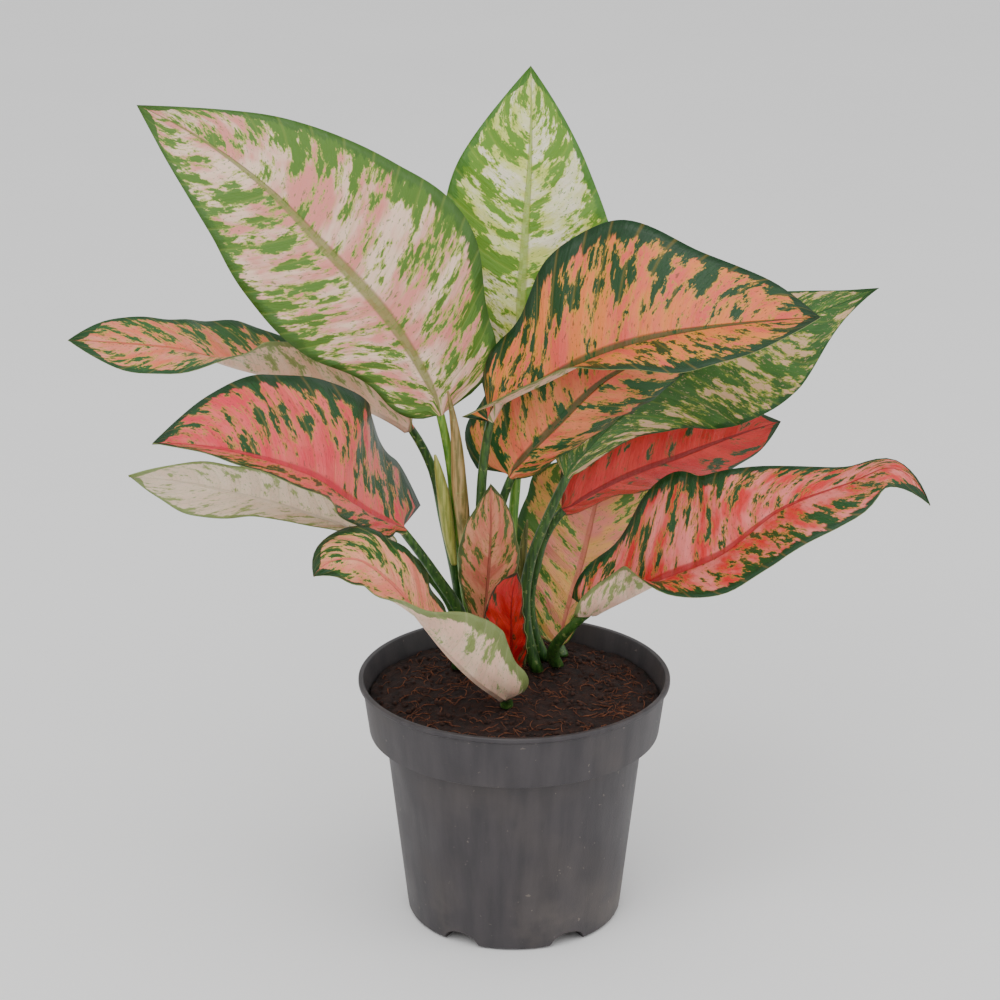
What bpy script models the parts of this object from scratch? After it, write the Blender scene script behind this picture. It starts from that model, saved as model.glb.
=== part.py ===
"""Potted Chinese evergreen (Aglaonema) in a round nursery pot.

Metres, +Z up. The origin is the centre of the pot's underside; -Y is the front.
Each leaf is one solid: its stalk rises from the potting mix and runs on as the rib of the blade.
Leaf positions and widths below are in millimetres and are scaled by MM when a mesh is made.
"""

import math

import bmesh
import bpy
import numpy as np

MM = 0.001

# Pot, in millimetres
POT_HEIGHT = 97.0
RIM_RADIUS = 60.0
COLLAR_RADIUS = 56.0
COLLAR_DEPTH = 22.0
SHOULDER_RADIUS = 49.8
BASE_RADIUS = 41.6
WALL = 1.4
FLOOR = 2.4
DRAIN_SLOTS = 6
SLOT_WIDTH = 15.0
SLOT_HEIGHT = 5.0
SLOT_INNER_RADIUS = 31.0
POT_SEGMENTS = 48

# Potting mix, in millimetres
GAP = 0.35
SOIL_CENTRE = 93.0
SOIL_FALL = 3.0

# Leaves, in millimetres
ACROSS_HALF = 4
BLADE_ROWS = 12
STALK_ROWS = 7
STALK_FOOT_RADIUS = 2.6
STALK_TOP_RADIUS = 1.6
BLADE_THICKNESS = 0.8
RIB_THICKNESS = 1.6
WIDTH_STATIONS = np.array([0.0, 0.1, 0.3, 0.5, 0.7, 0.9, 1.0])


def clear_scene():
    for obj in list(bpy.data.objects):
        bpy.data.objects.remove(obj, do_unlink=True)


def material(name, colour, roughness):
    made = bpy.data.materials.new(name)
    made.use_nodes = True
    shader = made.node_tree.nodes["Principled BSDF"]
    shader.inputs["Base Color"].default_value = (*colour, 1.0)
    shader.inputs["Roughness"].default_value = roughness
    shader.inputs["Metallic"].default_value = 0.0
    return made


def mesh_object(name, points, faces, finish, smooth=True):
    mesh = bpy.data.meshes.new(name)
    mesh.from_pydata([tuple(p) for p in np.asarray(points) * MM], [], [tuple(f) for f in faces])
    work = bmesh.new()
    work.from_mesh(mesh)
    bmesh.ops.recalc_face_normals(work, faces=work.faces)
    work.to_mesh(mesh)
    work.free()
    mesh.materials.append(finish)
    if smooth:
        mesh.shade_smooth()
        mesh.set_sharp_from_angle(angle=math.radians(40))
    obj = bpy.data.objects.new(name, mesh)
    bpy.context.scene.collection.objects.link(obj)
    return obj


def turned(name, profile, segments, finish):
    """A solid of revolution about Z; the profile runs from the axis round to the axis again."""
    points, faces, rings = [], [], []
    for radius, height in profile:
        if radius == 0:
            rings.append([len(points)])
            points.append((0.0, 0.0, height))
            continue
        rings.append(list(range(len(points), len(points) + segments)))
        for k in range(segments):
            turn = 2 * math.pi * k / segments
            points.append((radius * math.cos(turn), radius * math.sin(turn), height))
    for low, high in zip(rings, rings[1:]):
        for k in range(segments):
            n = (k + 1) % segments
            corners = [low[k % len(low)], low[n % len(low)], high[n % len(high)], high[k % len(high)]]
            faces.append(list(dict.fromkeys(corners)))
    return mesh_object(name, points, faces, finish)


def soil_height(x, y):
    return SOIL_CENTRE - SOIL_FALL * (x * x + y * y) / COLLAR_RADIUS**2


def make_pot(finish):
    """A thin moulded pot with a stepped collar and drain slots cut through its bottom edge."""
    collar_foot = POT_HEIGHT - COLLAR_DEPTH
    outside = [
        (0, 0), (BASE_RADIUS - 1.5, 0), (BASE_RADIUS, 1.5), (SHOULDER_RADIUS, collar_foot - 0.8),
        (COLLAR_RADIUS - 0.6, collar_foot), (COLLAR_RADIUS, collar_foot + 0.8),
        (RIM_RADIUS - 1.6, POT_HEIGHT - 3.0), (RIM_RADIUS, POT_HEIGHT - 1.6), (RIM_RADIUS, POT_HEIGHT - 0.5),
        (RIM_RADIUS - 0.6, POT_HEIGHT),
    ]
    inside = [
        (RIM_RADIUS - WALL - 0.8, POT_HEIGHT - 0.4), (COLLAR_RADIUS - WALL, collar_foot + 2.4),
        (SHOULDER_RADIUS - WALL, collar_foot + 0.4), (BASE_RADIUS - WALL, FLOOR + 1.2),
        (BASE_RADIUS - WALL - 1.2, FLOOR), (0, FLOOR),
    ]
    pot = turned("pot", outside + inside, POT_SEGMENTS, finish)
    cutter = drain_slot_cutter(finish)
    cut = pot.modifiers.new("drain slots", "BOOLEAN")
    cut.operation = "DIFFERENCE"
    cut.object = cutter
    return pot


def drain_slot_cutter(finish):
    """One arch-shaped bar for each slot, all in one guide mesh."""
    points, faces = [], []
    arch = [(-SLOT_WIDTH / 2, -2.0), (SLOT_WIDTH / 2, -2.0)]
    arch += [
        (SLOT_WIDTH / 2 * math.cos(a), SLOT_HEIGHT * math.sin(a)) for a in np.radians([20, 50, 90, 130, 160])
    ]
    for k in range(DRAIN_SLOTS):
        turn = math.radians(-90 + 30) + 2 * math.pi * k / DRAIN_SLOTS
        out = (math.cos(turn), math.sin(turn))
        first = len(points)
        for radius in (SLOT_INNER_RADIUS, BASE_RADIUS + 4.0):
            for side, height in arch:
                points.append((radius * out[0] - side * out[1], radius * out[1] + side * out[0], height))
        n = len(arch)
        faces.append([first + i for i in range(n)][::-1])
        faces.append([first + n + i for i in range(n)])
        for i in range(n):
            j = (i + 1) % n
            faces.append([first + i, first + j, first + n + j, first + n + i])
    cutter = mesh_object("drain_slot_cutter", points, faces, finish, smooth=False)
    cutter.hide_render = True
    cutter.display_type = "WIRE"
    return cutter


def make_soil(finish):
    """The root ball fills the pot and stands a little proud in the middle."""
    top = POT_HEIGHT - COLLAR_DEPTH
    wall = WALL + GAP
    profile = [
        (0, FLOOR + GAP), (BASE_RADIUS - wall - 1.4, FLOOR + GAP), (BASE_RADIUS - wall, FLOOR + 1.6),
        (SHOULDER_RADIUS - wall - 0.1, top), (SHOULDER_RADIUS - wall, top + 3.2),
        (COLLAR_RADIUS - wall + 0.6, top + 8.0),
    ]
    for radius in (COLLAR_RADIUS - wall + 1.4, 44.0, 30.0, 15.0, 0):
        profile.append((radius, soil_height(radius, 0)))
    return turned("potting_mix", profile, POT_SEGMENTS, finish)


def hermite(knots, values, at):
    """A smooth curve through the values at the knots."""
    slope = np.gradient(values, knots, axis=0, edge_order=2 if len(values) > 2 else 1)
    i = np.clip(np.searchsorted(knots, at, side="right") - 1, 0, len(values) - 2)
    step = (knots[i + 1] - knots[i])[:, None]
    u = (at - knots[i])[:, None] / step
    return (
        (2 * u**3 - 3 * u**2 + 1) * values[i]
        + (u**3 - 2 * u**2 + u) * slope[i] * step
        + (3 * u**2 - 2 * u**3) * values[i + 1]
        + (u**3 - u**2) * slope[i + 1] * step
    )


def smooth_path(points, at):
    points = np.array(points, float)
    knots = np.concatenate([[0], np.cumsum(np.linalg.norm(np.diff(points, axis=0), axis=1))])
    return hermite(knots / knots[-1], points, at)


def spread(values, at):
    """Values given at even steps along the blade, read at the fractions `at`."""
    values = np.array(values, float).reshape(len(values), -1)
    return hermite(np.linspace(0, 1, len(values)), values, at)


def unit(vectors):
    return vectors / np.linalg.norm(vectors, axis=-1, keepdims=True)


def half_width(widths, at):
    """Half width of the blade; the widths are at 10, 30, 50, 70 and 90 % of its length."""
    values = np.array([widths[0], *widths, 0.0])[:, None]
    round_base = np.sqrt(np.clip(1 - (1 - np.minimum(at / 0.1, 1)) ** 2, 0, 1))
    return np.maximum(hermite(WIDTH_STATIONS, values, at)[:, 0], 0) * round_base + 0.02


class Half:
    """One half of a blade: its widths, and how steeply it rises at the rib and at the margin, in degrees."""

    def __init__(self, widths, rib, edge, lobe=0.0, reach=0.12):
        self.widths = widths
        self.rib = rib
        self.edge = edge
        self.lobe = lobe
        self.reach = reach


def blade_grid(rib, face, left, right, rows, across):
    """Points of the upper face, row by row from base to tip, from the left margin to the right one."""
    at = np.linspace(0, 1, rows) ** 1.25
    line = smooth_path(rib, at)
    along = unit(np.gradient(line, at, axis=0))
    facing = spread(face, at)
    up = unit(facing - (facing * along).sum(1, keepdims=True) * along)
    side = np.cross(along, up)
    halves = []
    for half, sign in ((left, -1), (right, 1)):
        width = half_width(half.widths, at)
        start = np.radians(spread(half.rib, at))[:, 0]
        end = np.radians(spread(half.edge, at))[:, 0]
        columns = [line]
        place = line.copy()
        steps = 6
        for j in range(1, across):
            for k in range(steps):
                t = (j - 1 + (k + 0.5) / steps) / (across - 1)
                rise = start + (end - start) * t
                lean = np.cos(rise)[:, None] * side * sign + np.sin(rise)[:, None] * up
                place = place + lean * (width / (across - 1) / steps)[:, None]
            t = j / (across - 1)
            back = half.lobe * t**1.5 * np.exp(-((at / half.reach) ** 2))
            columns.append(place - along * back[:, None])
        halves.append(np.stack(columns, 1))
    grid = np.concatenate([halves[0][:, :0:-1], halves[1]], 1)
    return at, grid, along, up


def make_leaf(name, stalk, rib, face, left, right, finish):
    """One closed loft: rings round the stalk, then thin sections of the blade out to its tip."""
    at, grid, along, up = blade_grid(rib, face, left, right, BLADE_ROWS, ACROSS_HALF)
    count = grid.shape[1]
    normal = unit(np.cross(np.gradient(grid, axis=1), np.gradient(grid, axis=0)) + 1e-9)
    across = np.abs(np.linspace(-1, 1, count))
    sections = []
    line = smooth_path(stalk, np.linspace(0, 1, STALK_ROWS))
    radii = np.linspace(STALK_FOOT_RADIUS, STALK_TOP_RADIUS, STALK_ROWS)
    heading = unit(np.gradient(line, axis=0))
    heading[-1] = unit(heading[-1] + along[0])
    heading[0] = (0, 0, 1)
    first_side = np.cross(along[0], up[0])
    turn = np.radians(np.concatenate([np.linspace(170, 10, count), np.linspace(-10, -170, count)]))[:, None]
    for place, ahead, radius in zip(line, heading, radii):
        side = unit(first_side - (first_side @ ahead) * ahead)
        over = np.cross(side, ahead)
        sections.append(place + radius * (np.cos(turn) * side + np.sin(turn) * over))
    for i, s in enumerate(at):
        if s < 0.002:
            continue
        keel = (RIB_THICKNESS + (2 * STALK_TOP_RADIUS - RIB_THICKNESS) * math.exp(-s / 0.05)) * (1 - 0.75 * s)
        thick = keel * np.exp(-((across / 0.16) ** 2)) + BLADE_THICKNESS * (1 - 0.25 * across)
        under = grid[i] - normal[i] * np.maximum(0.6, thick)[:, None]
        sections.append(np.concatenate([grid[i], under[::-1]]))
    around = 2 * count
    faces = []
    for i in range(len(sections) - 1):
        for j in range(around):
            a, b = i * around + j, i * around + (j + 1) % around
            faces += [(a, b, b + around), (a, b + around, a + around)]
    last = (len(sections) - 1) * around
    for j in range(count - 1):
        for base in (0, last):
            a, b, c, d = base + j, base + j + 1, base + around - 2 - j, base + around - 1 - j
            faces += [(a, b, c), (a, c, d)]
    return mesh_object(name, np.concatenate(sections), faces, finish)


def make_spindle(name, path, radii, finish, sides=10, rows=9, flat=0.8):
    """A rolled young leaf or a papery sheath: a slim tapered body along a path."""
    at = np.linspace(0, 1, rows)
    line = smooth_path(path, at)
    size = spread(radii, at)[:, 0]
    heading = unit(np.gradient(line, at, axis=0))
    turn = np.linspace(0, 2 * np.pi, sides, endpoint=False)[:, None]
    points, faces = [], []
    for place, ahead, radius in zip(line, heading, size):
        side = unit(np.array([1.0, 0, 0]) - ahead * ahead[0])
        over = np.cross(ahead, side)
        points.append(place + radius * (np.cos(turn) * side + flat * np.sin(turn) * over))
    for i in range(rows - 1):
        for j in range(sides):
            a, b = i * sides + j, i * sides + (j + 1) % sides
            faces += [(a, b, b + sides), (a, b + sides, a + sides)]
    faces.append(tuple(range(sides))[::-1])
    faces.append(tuple(range((rows - 1) * sides, rows * sides)))
    return mesh_object(name, np.concatenate(points), faces, finish)


def foot(x, y):
    """Where a stalk leaves the potting mix."""
    return (x, y, soil_height(x, y) + 0.5)


def make_leaves(finishes):
    make_leaf(
        "leaf_top_left",
        [foot(-10, 24), (-18, 18, 121), (-20, 14, 139), (-22, 12, 152), (-24, 10, 177), (-28, 6, 201)],
        [(-29, 5, 206), (-46, -1, 239), (-69, -5, 268), (-92, -5, 293), (-115, 1, 309), (-138, 9, 319)],
        [(0.1, -1, 0.35), (0.05, -1, 0.3), (0, -1, 0.5)],
        Half((18, 32, 33, 25, 11), (5, 5, 5), (0, -10, 0), lobe=5),
        Half((31, 46, 40, 25, 7), (5, 5, 5), (-5, -5, 0), lobe=5),
        finishes["pink"],
    )
    make_leaf(
        "leaf_top_back",
        [foot(5, 28), (0, 25, 118), (-1, 22, 144), (1, 23, 174), (1, 24, 200)],
        [(1, 24, 204), (2, 26, 236), (4, 30, 266), (6, 36, 295), (6, 46, 325)],
        [(0, -1, 0.2), (0, -1, 0.3), (0, -1, 0.5)],
        Half((14, 26, 31, 27, 11), (8, 8, 5), (0, 0, 0)),
        Half((28, 36, 33, 22, 8), (8, 8, 5), (0, 0, 0)),
        finishes["cream"],
    )
    make_leaf(
        "leaf_upper_right",
        [foot(-7, 13), (-13, 9, 124), (-13, 6, 158), (-12, 2, 180), (-9, -3, 202)],
        [(-7, -4, 209), (9, -12, 219), (30, -22, 233), (44, -28, 240), (67, -34, 247), (88, -38, 251),
         (109, -42, 254)],
        [(0, -0.5, 0.85), (0, -0.5, 0.85), (0.1, -0.4, 0.85)],
        Half((23, 42, 46, 28, 13), (28, 28, 30, 15), (25, 35, 30, 0), lobe=6),
        Half((6, 14, 22, 24, 12), (36, 44, 34, 26, 20, 10), (40, 60, 30, 0, 0, 0), lobe=16),
        finishes["orange"],
    )
    make_leaf(
        "leaf_middle_right",
        [foot(-2.5, 17), (-7, 16, 126), (-5, 10, 163), (-1, 6, 176)],
        [(-1, 6, 178), (15, 0, 198), (36, -2, 219), (54, 0, 227), (71, 6, 231)],
        [(-0.2, -0.8, 0.6), (0, -0.7, 0.7), (0, -0.6, 0.8)],
        Half((26, 31, 27, 20, 10), (15, 15, 10), (10, 10, 0), lobe=12),
        Half((14, 20, 22, 18, 9), (-30, -25, -20), (-110, -100, -60), lobe=4),
        finishes["orange"],
    )
    make_leaf(
        "leaf_right",
        [foot(9, 13), (4, 13, 123), (7, 12, 142), (11, 12, 153), (20, 11, 174)],
        [(20, 11, 175), (40, 15, 197), (66, 14, 217), (99, 14, 232), (123, 12, 243), (136, 14, 248)],
        [(0, -0.8, 0.6), (0.1, -0.7, 0.7), (0.2, -0.7, 0.7)],
        Half((14, 24, 26, 16, 5), (10, 10, 10), (10, 10, 0)),
        Half((9, 18, 28, 25, 5), (-60, -40, -10, 0, 0), (-70, -50, -20, -10, -5)),
        finishes["green"],
    )
    make_leaf(
        "leaf_right_shaded",
        [foot(12, 25), (6, 23, 119), (9, 21, 136), (11, 20, 144), (19, 18, 158)],
        [(21, 18, 159), (41, 22, 169), (64, 26, 177), (87, 32, 184), (103, 38, 187)],
        [(0, -0.7, 0.7), (0, -0.7, 0.7), (0, -0.6, 0.8)],
        Half((16, 24, 26, 20, 8), (15, 15, 10), (10, 10, 0)),
        Half((12, 18, 20, 16, 8), (-70, -60, -20), (-110, -100, -50), lobe=4),
        finishes["red"],
    )
    make_leaf(
        "leaf_lower_right",
        [foot(17, 19), (15, 13, 100), (20, 2, 114), (28, -6, 125)],
        [(28, -6, 125), (40, -14, 134), (54, -25, 146), (75, -36, 160), (98, -44, 182), (121, -50, 194),
         (136, -54, 201), (149, -60, 189)],
        [(-0.2, -0.5, 0.85), (-0.1, -0.5, 0.85), (0, -0.4, 0.9)],
        Half((20, 38, 28, 11, 3), (28, 28, 30, 15), (25, 20, 5, 0), lobe=8),
        Half((13, 20, 26, 27, 11), (32, 34, 30, 25, 10), (60, 170, 20, 5, 0, 0, 0), lobe=4),
        finishes["red"],
    )
    make_leaf(
        "leaf_low_back",
        [foot(19, 31), (18, 32, 96)],
        [(18, 32, 96), (21, 34, 110), (26, 38, 127), (31, 42, 148), (36, 50, 169)],
        [(0, -1, 0.1), (0, -1, 0.2), (0, -1, 0.3)],
        Half((15, 23, 28, 27, 20), (5, 5, 5), (0, 0, 0)),
        Half((5, 13, 22, 24, 18), (5, 5, 5), (0, 0, 0)),
        finishes["pink"],
    )
    make_leaf(
        "leaf_young_centre",
        [foot(-9, 5), (-12, 4, 108), (-12, 2, 117)],
        [(-12, 2, 117), (-10, -2, 137), (-9, -4, 158), (-9, -2, 176)],
        [(0, -1, 0.1), (0, -1, 0.1), (0, -1, 0.3)],
        Half((7, 11, 13, 11, 4), (20, 20, 10), (30, 30, 0)),
        Half((5, 9, 12, 10, 5), (20, 20, 10), (30, 30, 0)),
        finishes["pink"],
    )
    make_leaf(
        "leaf_small_front",
        [foot(0, 4), (-1, 1, 101)],
        [(-1, 0, 101), (-1, -9, 119), (-1, -13, 133), (1, -14, 145)],
        [(-0.3, -1, 0.1), (-0.3, -1, 0.1), (-0.3, -1, 0.3)],
        Half((10, 12, 11, 9, 5), (10, 10, 10), (20, 20, 0)),
        Half((6, 7, 6, 5, 3), (10, 10, 10), (20, 20, 0)),
        finishes["red"],
    )
    make_leaf(
        "leaf_lower_left",
        [foot(-3, -20), (-3, -22, 96), (-3, -26, 99)],
        [(-3, -27, 100), (-11, -33, 107), (-22, -39, 120), (-34, -45, 138), (-47, -50, 157), (-58, -54, 166),
         (-68, -58, 166), (-73, -61, 162)],
        [(0.3, -0.6, 0.7), (0.1, -0.6, 0.8), (-0.3, -0.5, 0.8)],
        Half((16, 24, 24, 18, 12), (60, 80, 50, -10, -10), (130, 150, 140, 70, -10), lobe=4),
        Half((12, 18, 20, 20, 14), (-15, -15, 0), (-30, -30, -20), lobe=4),
        finishes["orange"],
    )
    make_leaf(
        "leaf_left",
        [foot(-16, 9), (-20, 9, 117), (-30, 3, 137), (-42, -5, 158)],
        [(-44, -6, 161), (-51, -14, 167), (-62, -26, 179), (-71, -34, 189), (-91, -50, 203),
         (-110, -62, 212), (-128, -72, 217)],
        [(0, -0.4, 0.9), (0, -0.5, 0.85), (0, -0.4, 0.9)],
        Half((8, 14, 18, 10, 3), (-20, 10, 15, 15, 10), (-80, -20, 20, 10, 0)),
        Half((32, 42, 38, 30, 11), (30, 30, 30, 15), (20, 15, 5), lobe=22, reach=0.3),
        finishes["red"],
    )
    make_leaf(
        "leaf_left_under",
        [foot(-22, 17), (-23, 16, 116), (-35, 9, 137), (-46, 2, 149)],
        [(-46, 2, 149), (-62, -6, 161), (-76, -14, 169), (-91, -24, 178), (-104, -36, 186),
         (-118, -48, 194), (-138, -64, 202)],
        [(0, 0.6, 0.7), (0, 0.85, 0.5), (0, 0.8, 0.6)],
        Half((9, 15, 18, 17, 10), (0, 0, 0), (-10, -10, 0)),
        Half((3, 5, 8, 15, 8), (-60, -50, -20, 0), (-70, -60, -20, 0)),
        finishes["cream"],
    )
    make_leaf(
        "leaf_far_left",
        [foot(-19, 25), (-21, 23, 119), (-27, 19, 153), (-32, 17, 177), (-39, 14, 192)],
        [(-39, 14, 193), (-58, 15, 202), (-81, 9, 213), (-102, -1, 222), (-123, -14, 233),
         (-144, -22, 238), (-162, -28, 241)],
        [(0, -0.2, 1), (0, -0.3, 1), (0, -0.6, 0.7)],
        Half((10, 15, 18, 17, 10), (80, 80, 50, 10, 0), (110, 110, 80, 0, 0)),
        Half((8, 14, 22, 15, 9), (20, 30, 10, 10), (10, 30, 10, 10)),
        finishes["orange"],
    )


def make_new_growth(finish):
    make_spindle(
        "sheath_left", [(-23, 9, 139), (-25, 8, 152), (-27, 7, 168), (-30, 5, 185)], (1.2, 2.5, 2.4, 0.5), finish
    )
    make_spindle(
        "rolled_new_leaf",
        [(-19, 7, 135), (-19, 6, 150), (-21, 4, 175), (-22, 3, 192), (-25, 0, 212)],
        (1.2, 2.6, 3.0, 2.0, 0.4),
        finish,
    )
    make_spindle(
        "sheath_centre",
        [(4, 20, soil_height(4, 20) + 1.5), (2, 19, 116), (3, 17, 138), (5, 15, 155)],
        (2.6, 2.6, 2.2, 0.4),
        finish,
    )


clear_scene()
make_pot(material("black_plastic", (0.045, 0.04, 0.042), 0.55))
make_soil(material("potting_mix", (0.03, 0.015, 0.01), 1.0))
make_leaves(
    {
        "pink": material("leaf_pink", (0.85, 0.42, 0.38), 0.4),
        "cream": material("leaf_cream", (0.75, 0.78, 0.4), 0.4),
        "orange": material("leaf_orange", (0.85, 0.25, 0.12), 0.4),
        "green": material("leaf_green", (0.08, 0.25, 0.05), 0.4),
        "red": material("leaf_red", (0.7, 0.06, 0.05), 0.4),
    }
)
make_new_growth(material("sheath", (0.4, 0.4, 0.12), 0.5))
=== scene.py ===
"""A potted Chinese evergreen on a pale studio floor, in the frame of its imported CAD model."""

import math
import random

import bmesh
import bpy
import numpy as np
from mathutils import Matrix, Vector, noise


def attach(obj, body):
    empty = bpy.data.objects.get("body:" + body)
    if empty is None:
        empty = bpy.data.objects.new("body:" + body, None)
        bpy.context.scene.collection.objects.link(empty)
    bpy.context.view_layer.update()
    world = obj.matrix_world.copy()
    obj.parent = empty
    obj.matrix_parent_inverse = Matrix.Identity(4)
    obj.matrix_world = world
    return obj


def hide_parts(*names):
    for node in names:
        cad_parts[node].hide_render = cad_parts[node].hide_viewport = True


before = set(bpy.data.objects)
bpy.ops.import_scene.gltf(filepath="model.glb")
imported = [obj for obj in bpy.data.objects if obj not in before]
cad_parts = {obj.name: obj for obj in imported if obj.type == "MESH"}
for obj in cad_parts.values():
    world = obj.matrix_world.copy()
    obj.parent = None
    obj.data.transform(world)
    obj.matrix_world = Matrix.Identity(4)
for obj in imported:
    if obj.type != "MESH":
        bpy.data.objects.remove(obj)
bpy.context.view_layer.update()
random.seed(11)

# ---- Pot ---------------------------------------------------------------------------------------
# A thin round nursery pot in matt charcoal plastic: a straight taper, then a collar that flares to
# the rim. The moulding leaves a fine grain, and dust and splashes dull it towards the foot.

MM = 0.001


def put(tree, kind, values=(), **settings):
    """Adds a node; each value is a socket to link or a constant for that input."""
    node = tree.nodes.new(kind)
    for key, value in settings.items():
        setattr(node, key, value)
    for key, value in dict(values).items():
        if isinstance(value, bpy.types.NodeSocket):
            tree.links.new(value, node.inputs[key])
        else:
            node.inputs[key].default_value = value
    return node


def calc(tree, operation, *values):
    return put(tree, "ShaderNodeMath", enumerate(values), operation=operation).outputs[0]


def fade(tree, value, low, high, start=0.0, end=1.0):
    """A smooth step from start to end as the value goes from low to high."""
    values = {"Value": value, "From Min": low, "From Max": high, "To Min": start, "To Max": end}
    return put(tree, "ShaderNodeMapRange", values, interpolation_type="SMOOTHSTEP").outputs["Result"]


def mixed(tree, factor, a, b):
    node = put(tree, "ShaderNodeMix", {0: factor, 6: a, 7: b}, data_type="RGBA")
    return node.outputs[2]


def grain(tree, vector, scale, detail=4.0, roughness=0.55):
    values = {"Vector": vector, "Scale": scale, "Detail": detail, "Roughness": roughness}
    return put(tree, "ShaderNodeTexNoise", values).outputs["Fac"]


def rgb(red, green, blue):
    """A linear colour from the usual 0 to 255 values."""
    return tuple((v / 255) ** 2.2 for v in (red, green, blue)) + (1.0,)


def new_material(name):
    made = bpy.data.materials.new(name)
    made.use_nodes = True
    return made, made.node_tree, made.node_tree.nodes["Principled BSDF"]


def bumped(tree, shader, height, distance, strength=1.0):
    bump = put(tree, "ShaderNodeBump", {"Height": height, "Distance": distance, "Strength": strength})
    tree.links.new(bump.outputs["Normal"], shader.inputs["Normal"])


def mesh_object(name, points, faces, finishes, slots=None, uv=None):
    mesh = bpy.data.meshes.new(name)
    mesh.from_pydata([tuple(p) for p in np.asarray(points) * MM], [], [tuple(f) for f in faces])
    for finish in finishes:
        mesh.materials.append(finish)
    if slots is not None:
        mesh.polygons.foreach_set("material_index", slots)
    if uv is not None:
        layer = mesh.uv_layers.new(name="surface")
        corners = np.empty(len(mesh.loops), np.int32)
        mesh.loops.foreach_get("vertex_index", corners)
        layer.data.foreach_set("uv", np.asarray(uv, np.float32)[corners].ravel())
    work = bmesh.new()
    work.from_mesh(mesh)
    bmesh.ops.recalc_face_normals(work, faces=work.faces)
    work.to_mesh(mesh)
    work.free()
    mesh.shade_smooth()
    obj = bpy.data.objects.new(name, mesh)
    bpy.context.scene.collection.objects.link(obj)
    return obj


def belongs(obj, node):
    """The piece stands for that node of the CAD model: it hangs under the root, and the node is hidden."""
    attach(obj, "root")
    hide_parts(node)


def charcoal_plastic():
    made, tree, shader = new_material("charcoal plastic")
    place = put(tree, "ShaderNodeTexCoord").outputs["Object"]
    fine = grain(tree, place, 1400.0)
    cloudy = grain(tree, place, 28.0, 6.0)
    stretched = put(tree, "ShaderNodeMapping", {"Vector": place, "Scale": (1.0, 1.0, 0.12)}).outputs[0]
    streaks = grain(tree, stretched, 160.0)
    height = put(tree, "ShaderNodeSeparateXYZ", {0: place}).outputs["Z"]
    low = fade(tree, height, 0.03, 0.0, 0.0, 0.5)
    dust = calc(tree, "MULTIPLY", fade(tree, cloudy, 0.45, 0.7), calc(tree, "ADD", low, 0.18))
    speck = fade(tree, grain(tree, place, 420.0, 2.0), 0.71, 0.75, 0.0, 0.45)
    tone = mixed(tree, fade(tree, streaks, 0.3, 0.7), rgb(50, 47, 50), rgb(63, 59, 61))
    tone = mixed(tree, dust, tone, rgb(104, 96, 90))
    tone = mixed(tree, speck, tone, rgb(128, 118, 108))
    tree.links.new(tone, shader.inputs["Base Color"])
    tree.links.new(fade(tree, cloudy, 0.3, 0.7, 0.46, 0.62), shader.inputs["Roughness"])
    bumped(tree, shader, calc(tree, "ADD", fine, calc(tree, "MULTIPLY", streaks, 0.5)), 0.00012, 0.7)
    return made


def turned(name, profile, segments, finish):
    """A solid of revolution about Z, from the axis round to the axis again."""
    points, faces, rings = [], [], []
    for radius, height in profile:
        count = segments if radius else 1
        rings.append([len(points) + k for k in range(count)])
        for k in range(count):
            turn = 2 * math.pi * k / segments
            points.append((radius * math.cos(turn), radius * math.sin(turn), height))
    for low, high in zip(rings, rings[1:]):
        for k in range(segments):
            n = (k + 1) % segments
            corners = [low[k % len(low)], low[n % len(low)], high[n % len(high)], high[k % len(high)]]
            faces.append(list(dict.fromkeys(corners)))
    return mesh_object(name, points, faces, [finish])


SLOT_COUNT = 6
SLOT_HALF_WIDTH = 7.5
SLOT_HEIGHT = 5.0
SLOT_REACH = (31.0, 45.6)
SLOT_FOOT = -2.0


def drain_slots():
    """Arched bars at the pot's foot, used only to cut its slots."""
    points, faces = [], []
    arch = [(-SLOT_HALF_WIDTH, SLOT_FOOT), (SLOT_HALF_WIDTH, SLOT_FOOT)]
    for a in np.radians(np.arange(10, 171, 16)):
        arch.append((SLOT_HALF_WIDTH * math.cos(a), SLOT_HEIGHT * math.sin(a)))
    n = len(arch)
    for k in range(SLOT_COUNT):
        turn = math.radians(-60 + 360 / SLOT_COUNT * k)
        first = len(points)
        for radius in SLOT_REACH:
            for side, height in arch:
                x = radius * math.cos(turn) - side * math.sin(turn)
                y = radius * math.sin(turn) + side * math.cos(turn)
                points.append((x, y, height))
        faces.append([first + i for i in range(n)])
        faces.append([first + n + i for i in range(n)])
        for i in range(n):
            j = (i + 1) % n
            faces.append([first + i, first + j, first + n + j, first + n + i])
    return mesh_object("slot cutter", points, faces, [])


pot_profile = [
    (0, 0), (40.1, 0), (41.1, 0.4), (41.6, 1.5), (49.8, 74.2), (50.4, 74.8), (55.3, 75.0), (55.8, 75.3),
    (56.0, 76.0), (58.4, 94.0), (59.3, 94.9), (60.0, 95.4), (60.0, 96.5), (59.7, 96.9), (59.2, 97.0),
    (58.2, 96.8), (57.8, 96.2), (54.6, 77.4), (48.4, 75.4), (40.2, 3.6), (39.0, 2.4), (0, 2.4),
]
pot = turned("pot", pot_profile, 144, charcoal_plastic())
cutter = drain_slots()
cut = pot.modifiers.new("drain slots", "BOOLEAN")
cut.object = cutter
evaluated = pot.evaluated_get(bpy.context.evaluated_depsgraph_get())
cut_mesh = bpy.data.meshes.new_from_object(evaluated)
pot.modifiers.clear()
pot.data = cut_mesh
bpy.data.objects.remove(cutter)
pot.data.set_sharp_from_angle(angle=math.radians(35))
belongs(pot, "pot")

# ---- Potting mix -------------------------------------------------------------------------------
# Dark coir and peat, domed a little in the middle. Crumbs stand proud of it and red-brown fibres
# lie across it in every direction.


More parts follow.
